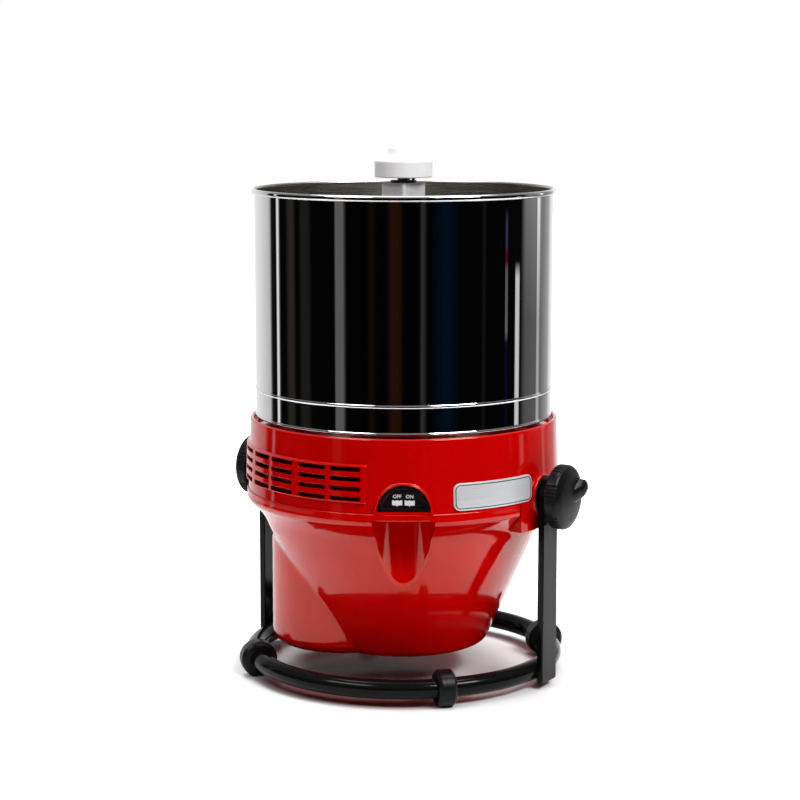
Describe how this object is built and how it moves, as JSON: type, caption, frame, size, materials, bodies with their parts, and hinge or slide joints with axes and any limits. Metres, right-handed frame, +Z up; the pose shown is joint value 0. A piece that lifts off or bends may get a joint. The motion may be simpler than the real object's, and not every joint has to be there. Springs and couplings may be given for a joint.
{
  "type": "chocolate melanger",
  "caption": "Tilting table-top melanger: polished drum with granite rollers on a red moulded housing, hung between uprights on a ring base with clamp knobs.",
  "frame": {"origin": "on the table, under the drum axis", "axes": "+Z up along the drum axis, X along the tilt axis, -Y towards the front"},
  "size_m": [0.305, 0.25, 0.4091],
  "materials": {
    "red_plastic": "glossy moulded",
    "black_paint": "satin black enamel",
    "black_plastic": "satin moulded",
    "polished_steel": "mirror polished stainless",
    "plain_steel": "turned and zinc plated",
    "motor_iron": "varnished laminations",
    "aluminium": "brushed",
    "white_plastic": "satin white",
    "granite": "honed granite",
    "brass": "turned",
    "belt_rubber": "matt"
  },
  "bodies": {
    "stand": {"base_ring": "black_paint", "left_upright": "black_paint", "right_upright": "black_paint", "front_left_foot": "black_plastic", "front_right_foot": "black_plastic", "rear_left_foot": "black_plastic", "rear_right_foot": "black_plastic"},
    "housing": {"upper_housing": "red_plastic", "lower_housing": "red_plastic", "badge_plate": "aluminium", "switch_bezel": "black_plastic", "switch_case": "black_plastic", "chassis_plate": "plain_steel", "left_pivot_sleeve": "plain_steel", "right_pivot_sleeve": "plain_steel", "left_friction_washer": "black_plastic", "right_friction_washer": "black_plastic", "motor_can": "plain_steel", "motor_stator": "motor_iron", "motor_screws": "plain_steel", "run_capacitor": "aluminium", "drive_belt": "belt_rubber", "centre_shaft": "polished_steel", "shaft_nut": "plain_steel", "chassis_screws": "plain_steel", "cord_gland": "black_plastic"},
    "drum": {"drum_shell": "polished_steel", "drum_floor": "polished_steel", "drum_tube": "polished_steel", "base_stone": "granite", "drive_hub": "plain_steel", "large_pulley": "aluminium", "lower_bearing": "plain_steel", "upper_bearing": "plain_steel", "drive_pins": "plain_steel"},
    "rotor": {"motor_rotor": "plain_steel", "motor_fan": "black_plastic", "motor_pulley": "aluminium"},
    "roller_set": {"roller_holder": "polished_steel", "left_axle": "polished_steel", "right_axle": "polished_steel", "left_axle_cap": "white_plastic", "right_axle_cap": "white_plastic", "spring_washer": "plain_steel", "tension_spring": "plain_steel"},
    "left_roller": {"left_roller_stone": "granite", "left_roller_bush": "white_plastic"},
    "right_roller": {"right_roller_stone": "granite", "right_roller_bush": "white_plastic"},
    "tension": {"tension_knob": "white_plastic", "knob_insert": "brass"},
    "left_clamp": {"left_clamp_knob": "black_plastic", "left_clamp_stud": "plain_steel", "left_clamp_washer": "plain_steel"},
    "right_clamp": {"right_clamp_knob": "black_plastic", "right_clamp_stud": "plain_steel", "right_clamp_washer": "plain_steel"},
    "rocker": {"switch_rocker": "black_plastic"}
  },
  "joints": [
    {"name": "tilt", "type": "hinge", "parent": "stand", "child": "housing", "pos_m": [0, 0, 0.149], "axis": [1, 0, 0], "range_deg": [-90, 90]},
    {"name": "drum_spin", "type": "hinge", "parent": "housing", "child": "drum", "pos_m": [0, 0, 0.2], "axis": [0, 0, 1], "continuous": true},
    {"name": "rotor_spin", "type": "hinge", "parent": "housing", "child": "rotor", "pos_m": [-0.05143, -0.0309, 0.1], "axis": [0, 0, 1], "continuous": true},
    {"name": "rollers_lift", "type": "slide", "parent": "housing", "child": "roller_set", "axis": [0, 0, 1], "range_m": [0, 0.16]},
    {"name": "left_roller_spin", "type": "hinge", "parent": "roller_set", "child": "left_roller", "pos_m": [0, 0, 0.2721], "axis": [-0.9659, 0.2588, 0], "continuous": true},
    {"name": "right_roller_spin", "type": "hinge", "parent": "roller_set", "child": "right_roller", "pos_m": [0, 0, 0.2721], "axis": [0.9659, -0.2588, 0], "continuous": true},
    {"name": "tension_turn", "type": "hinge", "parent": "roller_set", "child": "tension", "pos_m": [0, 0, 0.39], "axis": [0, 0, 1], "range_deg": [0, 720]},
    {"name": "left_clamp_turn", "type": "hinge", "parent": "housing", "child": "left_clamp", "pos_m": [-0.13, 0, 0.149], "axis": [-1, 0, 0], "range_deg": [0, 360]},
    {"name": "right_clamp_turn", "type": "hinge", "parent": "housing", "child": "right_clamp", "pos_m": [0.13, 0, 0.149], "axis": [1, 0, 0], "range_deg": [0, 360]},
    {"name": "switch_rock", "type": "hinge", "parent": "housing", "child": "rocker", "pos_m": [0.05915, -0.10245, 0.158], "axis": [0, 0, 1], "range_deg": [0, 8]}
  ],
  "couplings": [
    {"joint": "rotor_spin", "follows": "drum_spin", "ratio": 8},
    {"joint": "left_roller_spin", "follows": "drum_spin", "ratio": 1.4286},
    {"joint": "right_roller_spin", "follows": "drum_spin", "ratio": 1.4286}
  ]
}
